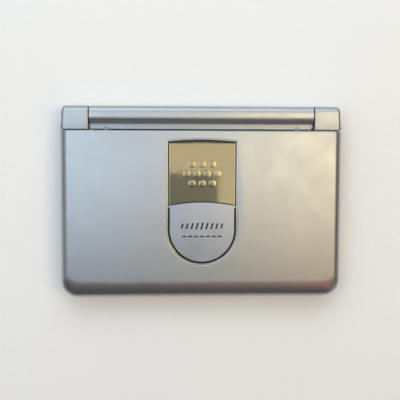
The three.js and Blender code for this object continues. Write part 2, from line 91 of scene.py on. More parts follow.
# ---- Outlines and skins ---------------------------------------------------------------------------
def arc(centre, radius, start, end, count):
    """Points centre + radius * (cos a, sin a) for a from start to end degrees; radius may be a pair."""
    a = np.radians(np.linspace(start, end, count))
    return np.stack([centre[0] + np.ravel(radius)[0] * np.cos(a),
                     centre[1] + np.ravel(radius)[-1] * np.sin(a)], -1)


def rounded_rectangle(low, high, front, rear=None, count=13):
    """An anticlockwise rectangle whose corners are quarter ellipses of radii front and rear, (x, y)."""
    fx, fy = np.broadcast_to(front, 2)
    rx, ry = np.broadcast_to(front if rear is None else rear, 2)
    return np.concatenate([
        arc((high[0] - fx, low[1] + fy), (fx, fy), -90, 0, count),
        arc((high[0] - rx, high[1] - ry), (rx, ry), 0, 90, count),
        arc((low[0] + rx, high[1] - ry), (rx, ry), 90, 180, count),
        arc((low[0] + fx, low[1] + fy), (fx, fy), 180, 270, count)])


def badge_outline(inset, count=40):
    """The badge's edge taken in by inset: half circle at the front, straight sides, arched rear."""
    half = BADGE_HALF - inset
    corner = max(BADGE_CORNER - inset, 0.2)
    arch = (BADGE_HALF ** 2 + BADGE_RISE ** 2) / (2 * BADGE_RISE)
    arch_y = BADGE_HIGH[1] - arch
    reach = math.sqrt((arch - inset - corner) ** 2 - (half - corner) ** 2)
    lean = math.degrees(math.atan2(reach, half - corner))
    return np.concatenate([
        arc((0, BADGE_CENTRE), half, -180, 0, 2 * count),
        arc((half - corner, arch_y + reach), corner, 0, lean, 7),
        arc((0, arch_y), arch - inset, lean, 180 - lean, count)[1:-1],
        arc((corner - half, arch_y + reach), corner, 180 - lean, 180, 7)])


def dense(outline, step=0.5):
    """A closed outline with points added along its edges, so that none are further apart than step."""
    following = np.roll(outline, -1, 0)
    counts = np.maximum(np.ceil(np.linalg.norm(following - outline, axis=1) / step), 1).astype(int)
    index = np.repeat(np.arange(len(outline)), counts)
    share = (np.arange(counts.sum()) - np.repeat(np.cumsum(counts) - counts, counts)) / counts[index]
    return outline[index] + (following - outline)[index] * share[:, None]


def seen_from(centre, outline, angles):
    """Where rays from centre at the given angles meet a closed outline that centre sees all of."""
    from_centre = dense(outline) - centre
    bearing = np.arctan2(from_centre[:, 1], from_centre[:, 0])
    order = np.argsort(bearing)
    radius = np.interp(angles, bearing[order], np.hypot(*from_centre.T)[order], period=2 * PI)
    return centre + radius[:, None] * np.stack([np.cos(angles), np.sin(angles)], -1)


def taken_in(outline, inset):
    """A closed anticlockwise outline moved inwards by inset along its point normals."""
    along = np.roll(outline, -1, 0) - np.roll(outline, 1, 0)
    along = along / np.linalg.norm(along, axis=1)[:, None]
    return outline + inset * np.stack([-along[:, 1], along[:, 0]], -1)


def at_height(outline, z):
    """A flat outline lifted to height z, a number or one height for each point."""
    return np.column_stack([outline, np.broadcast_to(z, len(outline))])


def skin(loops, ring=False):
    """Quads between neighbouring loops (loops, points, 3); flat ends, or joined last to first as a ring."""
    rows, around = loops.shape[:2]
    i = np.arange(rows if ring else rows - 1)[:, None] * around
    j = np.arange(around)[None, :]
    k = (j + 1) % around
    up = (i + around) % (rows * around)
    faces = np.stack([i + j, i + k, up + k, up + j], -1).reshape(-1, 4).tolist()
    if not ring:
        faces += [list(range(around))[::-1], list(range((rows - 1) * around, rows * around))]
    return loops.reshape(-1, 3), faces


def gather(parts):
    """Several (points, faces) parts as one."""
    points, faces, start = [], [], 0
    for part_points, part_faces in parts:
        points.append(part_points)
        faces += [[v + start for v in face] for face in part_faces]
        start += len(part_points)
    return np.concatenate(points), faces


def slab(outline, low, high, edge=0.15, steps=4):
    """An outline raised from low to high, whose top edge is a quarter round of radius edge.

    A narrow flat band inside the edge keeps the top's shading flat.
    """
    turn = np.linspace(0, PI / 2, steps + 1)
    loops = [at_height(outline, low)]
    loops += [at_height(taken_in(outline, edge * (1 - math.cos(t))), high - edge * (1 - math.sin(t)))
              for t in turn]
    loops.append(at_height(taken_in(outline, edge + 0.05), high))
    return skin(np.array(loops))


def cushion(outline, low, high, edge=0.4, dish=0.0, steps=5, rings=6):
    """A slab whose top is dished: below high by dish * (1 - r^2), with r from 0 in the middle to 1."""
    turn = np.linspace(0, PI / 2, steps + 1)
    loops = [at_height(outline, low)]
    loops += [at_height(taken_in(outline, edge * (1 - math.cos(t))), high - edge * (1 - math.sin(t)))
              for t in turn]
    rim, middle = taken_in(outline, edge), outline.mean(0)
    loops += [at_height(middle + (rim - middle) * r, high - dish * (1 - r * r))
              for r in np.linspace(1, 0.08, rings)[1:]]
    return skin(np.array(loops))


def turned(profile, centre, count=32, ring=False):
    """A profile of (radius, height) points turned round a line along Z through centre."""
    a = np.linspace(0, 2 * PI, count, endpoint=False)
    radius, height = np.array(profile, float).T
    x, y = radius[:, None] * np.cos(a), radius[:, None] * np.sin(a)
    z = np.broadcast_to(height[:, None], x.shape)
    return skin(np.stack((x, y, z), -1) + np.array(centre, float), ring)


def carried_along_x(section, x0, x1, edges=(0.3, 0.3), front_corner=0.0, steps=6):
    """A (y, z) section carried along X, its ends rounded off by edges.

    Near an end the section is taken in by edge * (1 - sin t) at edge * (1 - cos t) from the end. Points
    ahead of the section's front face plus front_corner * (1 - cos t) are held there, which rounds the
    front corners in plan.
    """
    t = np.linspace(0, PI / 2, steps + 1)
    first = [(x0 + edges[0] * (1 - math.cos(a)), edges[0] * (1 - math.sin(a))) for a in t]
    last = [(x1 - edges[1] * (1 - math.cos(a)), edges[1] * (1 - math.sin(a))) for a in t[::-1]]
    places = first + [(x, 0.0) for x in np.linspace(x0 + 3, x1 - 3, 5)] + last
    if front_corner:
        near = front_corner * (1 - np.cos(t[1:-1]))
        places += [(x0 + d, 0.0) for d in near + edges[0]] + [(x1 - d, 0.0) for d in near + edges[1]]
        places.sort()
    loops = []
    for x, inset in places:
        flat = taken_in(section, inset)
        depth = max(0.0, 1 - min(x - x0, x1 - x) / front_corner) if front_corner else 0.0
        held = section[:, 0].min() + front_corner * (1 - math.sqrt(1 - depth ** 2))
        loops.append(np.column_stack([np.full(len(flat), x), np.maximum(flat[:, 0], held), flat[:, 1]]))
    return skin(np.array(loops))


def outward(points, faces):
    """The same faces, turned round if the volume that they enclose comes out negative."""
    volume = 0.0
    for size in {len(face) for face in faces}:
        corners = points[np.array([face for face in faces if len(face) == size])]
        for k in range(1, size - 1):
            volume += np.einsum("ij,ij->", corners[:, 0], np.cross(corners[:, k], corners[:, k + 1]))
    return faces if volume > 0 else [face[::-1] for face in faces]


def make_piece(name, part, body, material, replaces=(), sharp=35):
    """One closed mesh from (points, faces) in mm, smooth except across edges sharper than sharp degrees."""
    points, faces = part
    mesh = bpy.data.meshes.new(name)
    mesh.from_pydata((points * MM).tolist(), [], outward(points, faces))
    return place_mesh(name, mesh, body, material, replaces, sharp)


def place_mesh(name, mesh, body, material, replaces=(), sharp=35):
    """Gives a mesh its material and puts it on a body, with smooth shading between its sharp edges."""
    mesh.materials.clear()
    mesh.materials.append(material)
    mesh.polygons.foreach_set("use_smooth", np.ones(len(mesh.polygons), bool))
    mesh.set_sharp_from_angle(angle=math.radians(sharp))
    mesh.update()
    piece = bpy.data.objects.new(name, mesh)
    bpy.context.scene.collection.objects.link(piece)
    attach(piece, body)
    if replaces:
        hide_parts(*replaces)
    return piece


def moulded(node, name, body, material, edge=0.12, sharp=30):
    """A copy of a CAD node with its loose triangles merged and its edges rounded as a moulding's are."""
    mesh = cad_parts[node].data.copy()
    mesh.name = name
    points = np.empty(len(mesh.vertices) * 3)
    mesh.vertices.foreach_get("co", points)
    key = np.round(points.reshape(-1, 3) * 1e6).astype(np.int64)
    places, index = np.unique(key, axis=0, return_inverse=True)
    corners = np.empty(len(mesh.loops), np.int32)
    mesh.loops.foreach_get("vertex_index", corners)
    triangles = index.ravel()[corners].reshape(-1, 3)
    whole = (triangles[:, 0] != triangles[:, 1]) & (triangles[:, 1] != triangles[:, 2]) \
        & (triangles[:, 2] != triangles[:, 0])
    merged = bpy.data.meshes.new(name)
    merged.from_pydata((places / 1e6).tolist(), [], triangles[whole].tolist())
    piece = place_mesh(name, merged, body, material, (node,), sharp)
    if not edge:
        return piece
    bevel = piece.modifiers.new("rounded edges", "BEVEL")
    bevel.width = edge * MM
    bevel.segments = 2
    bevel.limit_method = "ANGLE"
    bevel.angle_limit = math.radians(sharp + 5)
    bevel.use_clamp_overlap = True
    bevel.harden_normals = True
    return piece


# ---- Materials ------------------------------------------------------------------------------------
def colour(code):
    """An sRGB hex colour as linear red, green, blue and alpha."""
    srgb = np.array([int(code[i:i + 2], 16) for i in (1, 3, 5)]) / 255
    return (*np.where(srgb <= 0.04045, srgb / 12.92, ((srgb + 0.055) / 1.055) ** 2.4), 1.0)


def add(tree, kind, links=None, **settings):
    """Adds a node: settings name its attributes or input sockets, and links join its inputs to outputs."""
    node = tree.nodes.new(kind)
    for name, value in settings.items():
        if hasattr(node, name):
            setattr(node, name, value)
        else:
            node.inputs[name.replace("_", " ")].default_value = value
    for socket, source in (links or {}).items():
        tree.links.new(source, node.inputs[socket])
    return node


def blank(name, **settings):
    """A new material: its tree, its surface shader with constant settings, and object coordinates."""
    material = bpy.data.materials.new(name)
    material.use_nodes = True
    tree = material.node_tree
    tree.nodes.clear()
    shader = add(tree, "ShaderNodeBsdfPrincipled")
    for socket, value in settings.items():
        shader.inputs[socket.replace("_", " ")].default_value = value
    add(tree, "ShaderNodeOutputMaterial", {"Surface": shader.outputs[0]})
    place = add(tree, "ShaderNodeTexCoord").outputs["Object"]
    return material, tree, shader, place


def per_metre(size_mm):
    """The texture scale whose cells are size_mm across."""
    return 1 / (size_mm * MM)


def grained(name, base, grain_mm, roughness, bump_mm, spread=0.06, tint=0.05, wear=0.0, **settings):
    """A moulded or painted surface.

    Fine noise of grain_mm gives the bump and a slight mottle of the colour, and broad noise, 30 times
    coarser, varies the roughness by spread, as handling does.
    """
    material, tree, shader, place = blank(name, Base_Color=colour(base), Roughness=roughness, **settings)
    fine = add(tree, "ShaderNodeTexNoise", {"Vector": place}, Scale=per_metre(grain_mm), Detail=3.0)
    broad = add(tree, "ShaderNodeTexNoise", {"Vector": place}, Scale=per_metre(30 * grain_mm), Detail=2.0)
    shade = add(tree, "ShaderNodeMapRange", {"Value": fine.outputs[0]},
                From_Min=0.3, From_Max=0.7, To_Min=1 - tint, To_Max=1 + tint)
    mottled = add(tree, "ShaderNodeVectorMath", {"Scale": shade.outputs[0]}, operation="SCALE")
    mottled.inputs[0].default_value = colour(base)[:3]
    gloss = add(tree, "ShaderNodeMapRange", {"Value": broad.outputs[0]}, From_Min=0.3, From_Max=0.7,
                To_Min=roughness - spread, To_Max=roughness + spread)
    relief = add(tree, "ShaderNodeBump", {"Height": fine.outputs[0]}, Strength=1.0, Distance=bump_mm * MM)
    tree.links.new(mottled.outputs[0], shader.inputs["Base Color"])
    tree.links.new(gloss.outputs[0], shader.inputs["Roughness"])
    tree.links.new(relief.outputs[0], shader.inputs["Normal"])
    if wear:
        edge_wear(tree, shader, mottled.outputs[0], place, wear)
    return material


def edge_wear(tree, shader, base, place, amount):
    """Rubbed edges: where the surface turns sharply, as Pointiness tells, a patchy lighter tone shows."""
    sharpness = add(tree, "ShaderNodeNewGeometry").outputs["Pointiness"]
    rubbed = add(tree, "ShaderNodeMapRange", {"Value": sharpness}, From_Min=0.53, From_Max=0.6)
    patches = add(tree, "ShaderNodeTexNoise", {"Vector": place}, Scale=per_metre(4), Detail=4.0)
    broken = add(tree, "ShaderNodeMath", {0: rubbed.outputs[0], 1: patches.outputs[0]},
                 operation="MULTIPLY")
    mixed = add(tree, "ShaderNodeMix", {"Factor": broken.outputs[0]}, data_type="RGBA")
    tree.links.new(base, mixed.inputs["A"])
    mixed.inputs["B"].default_value = tuple(min(1.0, c * (1 + amount)) for c in
                                            shader.inputs["Base Color"].default_value)
    tree.links.new(mixed.outputs["Result"], shader.inputs["Base Color"])


def silver_lacquer():
    """Metallic silver lacquer sprayed on ABS: aluminium flake under a thin clear coat.

    The flakes, really 0.03 mm, are drawn 0.25 mm across so that they show. They give the fine sparkle,
    and the coat gives the soft second highlight along the rolled edges.
    """
    tone = colour("#AEB1B5")
    material, tree, shader, place = blank(
        "metallic silver lacquer", Base_Color=tone, Metallic=0.82, Roughness=0.36,
        Coat_Weight=0.22, Coat_Roughness=0.28)
    flakes = add(tree, "ShaderNodeTexVoronoi", {"Vector": place}, Scale=per_metre(0.25))
    tilt = add(tree, "ShaderNodeBump", {"Height": flakes.outputs["Color"]}, Strength=0.35,
               Distance=0.012 * MM)
    clouds = add(tree, "ShaderNodeTexNoise", {"Vector": place}, Scale=per_metre(9), Detail=3.0)
    gloss = add(tree, "ShaderNodeMapRange", {"Value": clouds.outputs[0]}, From_Min=0.3, From_Max=0.7,
                To_Min=0.33, To_Max=0.39)
    shade = add(tree, "ShaderNodeMapRange", {"Value": flakes.outputs["Distance"]},
                From_Min=0.0, From_Max=0.8, To_Min=1.05, To_Max=0.93)
    base = add(tree, "ShaderNodeVectorMath", {"Scale": shade.outputs[0]}, operation="SCALE")
    base.inputs[0].default_value = tone[:3]
    tree.links.new(base.outputs[0], shader.inputs["Base Color"])
    tree.links.new(gloss.outputs[0], shader.inputs["Roughness"])
    tree.links.new(tilt.outputs[0], shader.inputs["Normal"])
    return material


def champagne_mirror():
    """Vacuum-plated champagne mirror under clear acrylic: a near-perfect reflection with a faint haze."""
    material, tree, shader, place = blank(
        "champagne vacuum plating", Base_Color=colour("#A49674"), Metallic=1.0, Roughness=0.05)
    haze = add(tree, "ShaderNodeTexNoise", {"Vector": place}, Scale=per_metre(5), Detail=4.0)
    gloss = add(tree, "ShaderNodeMapRange", {"Value": haze.outputs[0]}, From_Min=0.3, From_Max=0.7,
                To_Min=0.03, To_Max=0.08)
    tree.links.new(gloss.outputs[0], shader.inputs["Roughness"])
    return material


def satin_plating():
    """Satin nickel plating on the front half of the badge: a soft sheen with a fine blasted grain."""
    return grained("satin nickel plating", "#A8ADB9", 0.3, 0.3, 0.004, spread=0.03, tint=0.03, Metallic=0.9)


def bright_plating():
    """Bright nickel plating on the badge's rim: a hard thin highlight."""
    return grained("bright nickel plating", "#D9DADC", 1.2, 0.12, 0.001, spread=0.03, tint=0.02,
                   Metallic=1.0)


def display_glass():
    """The liquid crystal display seen through its polariser: grey-green, with a grid of cells.

    The cells, really 0.22 mm, are drawn 0.4 mm across, and darken a little between them.
    """
    material, tree, shader, place = blank(
        "polarised liquid crystal", Base_Color=colour("#7E8A7C"), Roughness=0.3, Coat_Weight=0.4)
    cells = add(tree, "ShaderNodeTexBrick", {"Vector": place}, Scale=per_metre(0.4), offset=0.0,
                Mortar_Size=0.06, Brick_Width=1.0, Row_Height=1.0)
    cells.inputs["Color1"].default_value = colour("#7E8A7C")
    cells.inputs["Color2"].default_value = colour("#818D80")
    cells.inputs["Mortar"].default_value = colour("#6E796D")
    tree.links.new(cells.outputs[0], shader.inputs["Base Color"])
    return material


def clear_window():
    """Hard-coated acrylic: clear, slightly grey, with a sharp reflection and faint wipe marks."""
    material, tree, shader, place = blank(
        "hard-coated acrylic", Base_Color=colour("#E8ECEA"), Roughness=0.04, IOR=1.49,
        Transmission_Weight=1.0)
    wipes = add(tree, "ShaderNodeTexNoise", {"Vector": place}, Scale=per_metre(18), Detail=5.0)
    gloss = add(tree, "ShaderNodeMapRange", {"Value": wipes.outputs[0]}, From_Min=0.4, From_Max=0.7,
                To_Min=0.03, To_Max=0.1)
    tree.links.new(gloss.outputs[0], shader.inputs["Roughness"])
    return material


def solder_mask():
    """Green solder mask over copper tracks: tracks 1.2 mm wide stand a little lighter than the rest."""
    material, tree, shader, place = blank(
        "green solder mask", Base_Color=colour("#1F5A38"), Roughness=0.35, Coat_Weight=0.3)
    tracks = add(tree, "ShaderNodeTexBrick", {"Vector": place}, Scale=per_metre(6), Mortar_Size=0.1)
    tracks.inputs["Color1"].default_value = colour("#1B5032")
    tracks.inputs["Color2"].default_value = colour("#1E5937")
    tracks.inputs["Mortar"].default_value = colour("#3B8456")
    tree.links.new(tracks.outputs[0], shader.inputs["Base Color"])
    return material


def cell_sleeve():
    """The printed sleeves of the two dry cells: a dark body with a copper band at the same end of each.

    The cells lie end to end along X, so X is wrapped to the left cell's stretch before the band is cut.
    """
    left_end, right_end, band_start = -45.6, -1, -14
    material, tree, shader, place = blank(
        "printed shrink sleeve", Base_Color=colour("#26282C"), Metallic=0.5, Roughness=0.28)
    along = add(tree, "ShaderNodeSeparateXYZ", {0: place})
    turns = add(tree, "ShaderNodeMath", {0: along.outputs[0]}, operation="WRAP")
    turns.inputs[1].default_value, turns.inputs[2].default_value = right_end * MM, left_end * MM
    band = add(tree, "ShaderNodeMath", {0: turns.outputs[0]}, operation="GREATER_THAN")
    band.inputs[1].default_value = band_start * MM
    mixed = add(tree, "ShaderNodeMix", {"Factor": band.outputs[0]}, data_type="RGBA")
    mixed.inputs["A"].default_value = colour("#26282C")
    mixed.inputs["B"].default_value = colour("#B4763A")
    tree.links.new(mixed.outputs["Result"], shader.inputs["Base Color"])
    return material


LACQUER = silver_lacquer()
MIRROR = champagne_mirror()
SATIN = satin_plating()
BRIGHT = bright_plating()
DISPLAY = display_glass()
WINDOW = clear_window()
SOLDER_MASK = solder_mask()
SLEEVE = cell_sleeve()
# Plain silver lacquer inside the shell: less flake, so it looks flatter and a little darker.
INNER_LACQUER = grained("plain silver lacquer", "#A9ADB1", 0.4, 0.42, 0.006, Metallic=0.45, wear=0.15)
# Charcoal ABS with a spark-eroded mould texture of 0.3 mm grain: dull, with no clear highlight.
DARK_ABS = grained("spark-textured charcoal ABS", "#26282C", 0.3, 0.55, 0.02, wear=0.5)
# Pearl-painted key tops: pale with a soft sheen.
PEARL_KEY = grained("pearl-painted key", "#D3D6DA", 0.35, 0.38, 0.006, Metallic=0.15, wear=0.1)
GREY_KEY = grained("grey ABS key", "#5D646C", 0.35, 0.42, 0.008, wear=0.2)
# Moulded silicone: matt, slightly dusty.
RUBBER = grained("moulded silicone rubber", "#1C1D1F", 0.5, 0.8, 0.02, tint=0.12)
GREY_PAD = grained("grey silicone pad", "#8B979C", 0.5, 0.6, 0.01, tint=0.08)
# Nickel-plated spring steel: a drawn surface with fine marks.
NICKEL = grained("nickel-plated steel", "#B9BABC", 0.8, 0.28, 0.004, Metallic=1.0)
# The badge's well, polished and coloured near black as painted shade: it gives the dark line round the two
# halves, where the groove lies in shadow.
WELL_PAINTED_SHADE = grained("polished black painted shade", "#060607", 1.5, 0.3, 0.002, tint=0.1)
# Screen-printed ink: flat, slightly rough film.
DARK_INK = grained("dark screen-printed ink", "#15161A", 0.4, 0.5, 0.004)
PALE_INK = grained("pale screen-printed ink", "#D9DDE2", 0.4, 0.5, 0.004)
# The raised domes share the mirror's plating but are blasted, so that they catch the light softly.
DOME_PLATING = grained("blasted champagne plating", "#A49677", 0.4, 0.16, 0.001, Metallic=1.0)
# The writing panel's film: a pale grey resistive layer with a fine anti-glare haze.
PANEL_FILM = grained("anti-glare touch film", "#8E9894", 0.25, 0.35, 0.003, tint=0.02, Coat_Weight=0.3)
# A blank printed label: smooth grey polyester film.
LABEL_FILM = grained("grey polyester label", "#8C9094", 0.6, 0.35, 0.003, tint=0.03)


# ---- Lid ------------------------------------------------------------------------------------------
def lid_crown(flat):
    """The lid's gently crowned top: highest in the middle, lower by CROWN at its edges."""
    x, y = flat[:, 0] / LID_HIGH[0], (flat[:, 1] - LID_CENTRE[1]) / LID_HALF_DEPTH
    return LID_TOP - CROWN["x"] * x ** 2 - CROWN["y"] * y ** 2


def lid_outline(side, front, rear):
    """The lid's edge in plan, taken in by its own amount at the sides, front and rear."""
    low = (LID_LOW[0] + side, LID_LOW[1] + front)
    high = (LID_HIGH[0] - side, LID_HIGH[1] - rear)
    corner = (LID_CORNER - side / 2, LID_CORNER - front / 2)
    return rounded_rectangle(low, high, corner, (1.3, 1.1), 25)


def build_lid_cover():
    """One skin: up inside the wall, out over the rim, up and over the roll, in to the badge's well.

    On the roll, t goes from 0 to 90 degrees: the side comes in by side * (1 - cos t) and the height is
    base + height * sin t. The rear edge keeps its own small quarter round. Across the top the loops go
    in even shares from the roll's end to the badge's outline.
    """
    bearings = [np.arctan2(*(outline - LID_CENTRE).T[::-1]) for outline in (
        lid_outline(0, 0, 0), lid_outline(ROLL["side"], ROLL["front"], ROLL["rear"]), badge_outline(0))]
    angles = np.unique(np.round(np.concatenate([*bearings, np.linspace(-PI, PI, 161)[1:]]), 3))
    base = LID_TOP - ROLL["height"]

    def loop(outline, z):
        return at_height(seen_from(LID_CENTRE, outline, angles), z)

    loops = [
        loop(lid_outline(2.4, 3.2, 1.3), LID_TOP - 2.0),
        loop(lid_outline(1.3, 1.3, 1.3), LID_TOP - 4.2),
        loop(lid_outline(1.3, 1.3, 1.3), LID_LOW[2]),
        loop(lid_outline(0.2, 0.2, 0.2), LID_LOW[2]),
        loop(lid_outline(0.06, 0.06, 0.06), LID_LOW[2] + 0.06),
        loop(lid_outline(0, 0, 0), LID_LOW[2] + 0.2)]
    for t in np.linspace(0, PI / 2, 30):
        below_top = ROLL["height"] * (1 - math.sin(t))
        rise = max(0.0, 1 - below_top / ROLL["rear"])
        rear = ROLL["rear"] * (1 - math.sqrt(1 - rise ** 2))
        flat = seen_from(LID_CENTRE, lid_outline(
            ROLL["side"] * (1 - math.cos(t)), ROLL["front"] * (1 - math.cos(t)), rear), angles)
        loops.append(at_height(flat, base + (lid_crown(flat) - base) * math.sin(t)))
    outer, inner = loops[-1][:, :2], seen_from(LID_CENTRE, badge_outline(-0.35), angles)
    for share in np.linspace(0, 1, 15)[1:]:
        flat = outer + (inner - outer) * share
        loops.append(at_height(flat, lid_crown(flat)))
    for inset, drop in ((-0.2, 0.02), (-0.08, 0.1), (-0.03, 0.25)):
        flat = seen_from(LID_CENTRE, badge_outline(inset), angles)
        loops.append(at_height(flat, lid_crown(flat) - drop))
    loops.append(loop(badge_outline(-0.03), BADGE_FLOOR))
    make_piece("lid_shell", skin(np.array(loops)), "lid", LACQUER, ("lid_cover",), 50)


def split_arc(shift, half, count=41):
    """The arc that parts the badge's two halves, moved rearwards by shift, from +half to -half."""
    x = np.linspace(half, -half, count)
    y = SPLIT_Y - SPLIT_RADIUS + np.sqrt(SPLIT_RADIUS ** 2 - x ** 2)
    return np.column_stack([x, y + shift])


def build_badge():
    """The U-shaped badge: a well coloured black as painted shade, a bright rim, the mirror behind and the
    satin plate in front.
    """
    top = lid_crown(np.array([[0.0, 0.0]]))[0]
    bowl = [(0.1, BADGE_FLOOR), (0.1, top - 0.42), (0.55, top - 0.38), (0.6, BADGE_FLOOR + 0.2)]
    # Painted shade: the well's near-black colour stands in for the shadow in the groove round the badge's
    # two halves.
    make_piece("badge_well", skin(np.array([at_height(badge_outline(inset), z) for inset, z in bowl])),
               "lid", WELL_PAINTED_SHADE, (), 50)
    profile = [(0.0, top - 0.4), (0.0, top - 0.12), (0.07, top - 0.02), (0.18, top + 0.03),
               (0.32, top + 0.02), (0.42, top - 0.05), (0.46, top - 0.18), (0.46, top - 0.36)]
    rim = np.array([at_height(badge_outline(inset), z) for inset, z in profile])
    make_piece("badge_rim", skin(rim, ring=True), "lid", BRIGHT, ("badge_trim",), 60)

    half, rear, flat = BADGE_HALF - 0.95, BADGE_HIGH[1] - 1.75, 320
    mirror = np.concatenate([
        split_arc(0.1, half)[::-1],
        arc((half - 0.4, rear - 0.6), 0.4, 0, 80, 5),
        arc((0, rear - flat), flat + 0.05, 87.2, 92.8, 3),
        arc((0.4 - half, rear - 0.6), 0.4, 100, 180, 5)])
    make_piece("badge_mirror", slab(mirror, BADGE_FLOOR + 0.2, top - 0.3, 0.3, 3),
               "lid", MIRROR, ("badge_window",), 50)

    half, ear = BADGE_HALF - 1.45, BADGE_HALF - 0.5
    end = split_arc(-0.1, ear)[-1]
    plate = np.concatenate([
        arc((0, BADGE_CENTRE), half, -180, 0, 81),
        [(half, end[1] - 0.75), (ear, end[1] - 0.55)], split_arc(-0.1, ear),
        [(-ear, end[1] - 0.55), (-half, end[1] - 0.75)]])
    make_piece("badge_lower_plate", slab(plate, BADGE_FLOOR + 0.2, top - 0.05, 0.2, 5),
               "lid", SATIN, ("badge_plate",), 50)
    build_badge_ornament(top)


def build_badge_ornament(top):
    """Plain ornament: ten low domes in staggered rows on the mirror, and printed strokes on the plate."""
    pitch, radius, rise = 5.2, 1.75, 0.05
    t = np.linspace(0, PI / 2, 7)
    dome = [(radius * 1.05, 0.0)] + [(radius * math.cos(a) + 0.02, 0.01 + rise * math.sin(a)) for a in t]
    domes = [turned(dome, ((column - (count - 1) / 2) * pitch, y, top - 0.31), 28)
             for y, count in ((19.4, 3), (14.6, 4), (9.8, 3)) for column in range(count)]
    make_piece("badge_domes", gather(domes), "lid", DOME_PLATING)

    lean = 0.28

    def stroke(x, y, width, height):
        corners = [(-width / 2, -height / 2), (width / 2, -height / 2), (width / 2, height / 2),
                   (-width / 2, height / 2)]
        outline = np.array([(x + a + lean * b, y + b) for a, b in corners])
        return slab(outline, top - 0.06, top - 0.03, 0.01, 1)

    tall = [stroke(-10 + 2.5 * i, -11.7, 0.9, 3.6 - 0.28 * abs(i - 4)) for i in range(9)]
    low = [stroke(-9 + 3 * i, -17.0, 2.1, 0.7) for i in range(7)]
    make_piece("badge_strokes", gather(tall + low), "lid", DARK_INK)


def build_knuckles():
    """The lid's two hinge knuckles: flat on top, round behind and round below about the hinge axis.

    Towards its outer end each leans inwards: by 0.045 mm for each mm of height above the lid's rim, and
    by up to 0.8 mm at the rear, as the square of the way there.
    """
    top = KNUCKLE_HIGH[2]
    front = LID_HIGH[1] + 0.35
    nose = 3.0
    lean_start, lean_length = 66.0, 5.2
    under = math.degrees(math.asin((LID_LOW[2] - HINGE_Z) / HINGE_R))
    section = np.concatenate([
        arc((front + 0.4, LID_LOW[2] + 0.4), 0.4, 180, 270, 4),
        arc((HINGE_Y, HINGE_Z), HINGE_R, 180 - under, 360, 30),
        arc((HINGE_Y + HINGE_R - nose, top - nose), nose, 0, 90, 16),
        arc((front + 0.45, top - 0.45), 0.45, 90, 180, 6)])
    for side, name in ((-1, "left"), (1, "right")):
        low, high = node_box(f"knuckle_{name}")
        edges = (1.5, 0.35) if side < 0 else (0.35, 1.5)
        points, faces = carried_along_x(section, low[0], high[0], edges)
        outer = np.clip((np.abs(points[:, 0]) - lean_start) / lean_length, 0, 1)
        lean = 0.045 * np.clip(points[:, 2] - LID_LOW[2], 0, 9) \
            + 0.8 * np.clip((points[:, 1] - front) / (KNUCKLE_HIGH[1] - front), 0, 1) ** 2
        points[:, 0] -= side * outer * lean
        make_piece(f"knuckle_cap_{name}", (points, faces),
                   "lid", LACQUER, (f"knuckle_{name}",), 50)


def build_display_mask():
    """The black printed border between the window and the display."""
    low, high = node_box("screen_window")
    z = (high[2] + 0.06, high[2] + 0.2)
    outer = rounded_rectangle(low[:2] + 0.2, high[:2] - 0.2, 1.0)
    inner = rounded_rectangle(low[:2] + 4.2, high[:2] - 4.2, 0.6)
    loops = [at_height(outer, z[0]), at_height(outer, z[1]), at_height(inner, z[1]),
             at_height(inner, z[0])]
    make_piece("display_mask", skin(np.array(loops), ring=True), "lid", DARK_INK)


# ---- Base -----------------------------------------------------------------------------------------
def squared_arc(centre, radius, squareness, count):
    """Half a round seen along X, from the rear over the top: |y|^n + |z|^n = radius^n."""
    t = np.linspace(0, PI, count)
    c, s = np.cos(t), np.sin(t)
    return np.column_stack([centre[0] + radius * np.sign(c) * np.abs(c) ** (2 / squareness),
                            centre[1] + radius * s ** (2 / squareness)])


def build_barrel():
    """The barrel with the low strip in front of it, hollowed below round the cells."""
    cell_y, cell_z = (CELL_LOW[1:] + CELL_HIGH[1:]) / 2
    clear = CELL_HIGH[2] - cell_z + 0.15
    front, back, floor = BARREL_LOW[1], BARREL_HIGH[1], BARREL_LOW[2]
    strip = STRIP_TOP
    over = squared_arc((HINGE_Y, HINGE_Z), HINGE_R, 3.0, 61)
    over = over[(over[:, 0] < back) & ((over[:, 0] > HINGE_Y) | (over[:, 1] > strip + 0.45))]
    root = over[-1]
    fillet = np.array([(root[0] - 0.08, strip + 0.25), (root[0] - 0.3, strip + 0.1),
                       (root[0] - 0.7, strip + 0.02)])
    hollow = math.acos((front + 0.12 - cell_y) / clear)
    floor_angle = math.degrees(math.asin((floor - cell_z) / clear))
    section = np.concatenate([
        arc((cell_y, cell_z), clear, math.degrees(hollow), floor_angle, 24),
        [(back, floor), (back, HINGE_Z - 1), (back, HINGE_Z)],
        over,
        fillet,
        arc((front + 0.5, strip - 0.5), 0.5, 90, 180, 6),
        [(front, cell_z + clear * math.sin(hollow) + 0.05)]])
    make_piece("barrel_shell", carried_along_x(section, BARREL_LOW[0], BARREL_HIGH[0], (0.3, 0.3), 2.2),
               "base", LACQUER, ("hinge_barrel",), 40)
    pad = [(1.2, 0), (1.2, 0.24), (1.08, 0.3)]
    pads = [turned(pad, (x, front + 0.3, strip - 0.2), 24) for x in (-48.3, 48.3)]
    make_piece("lid_stop_pads", gather(pads), "base", GREY_PAD)


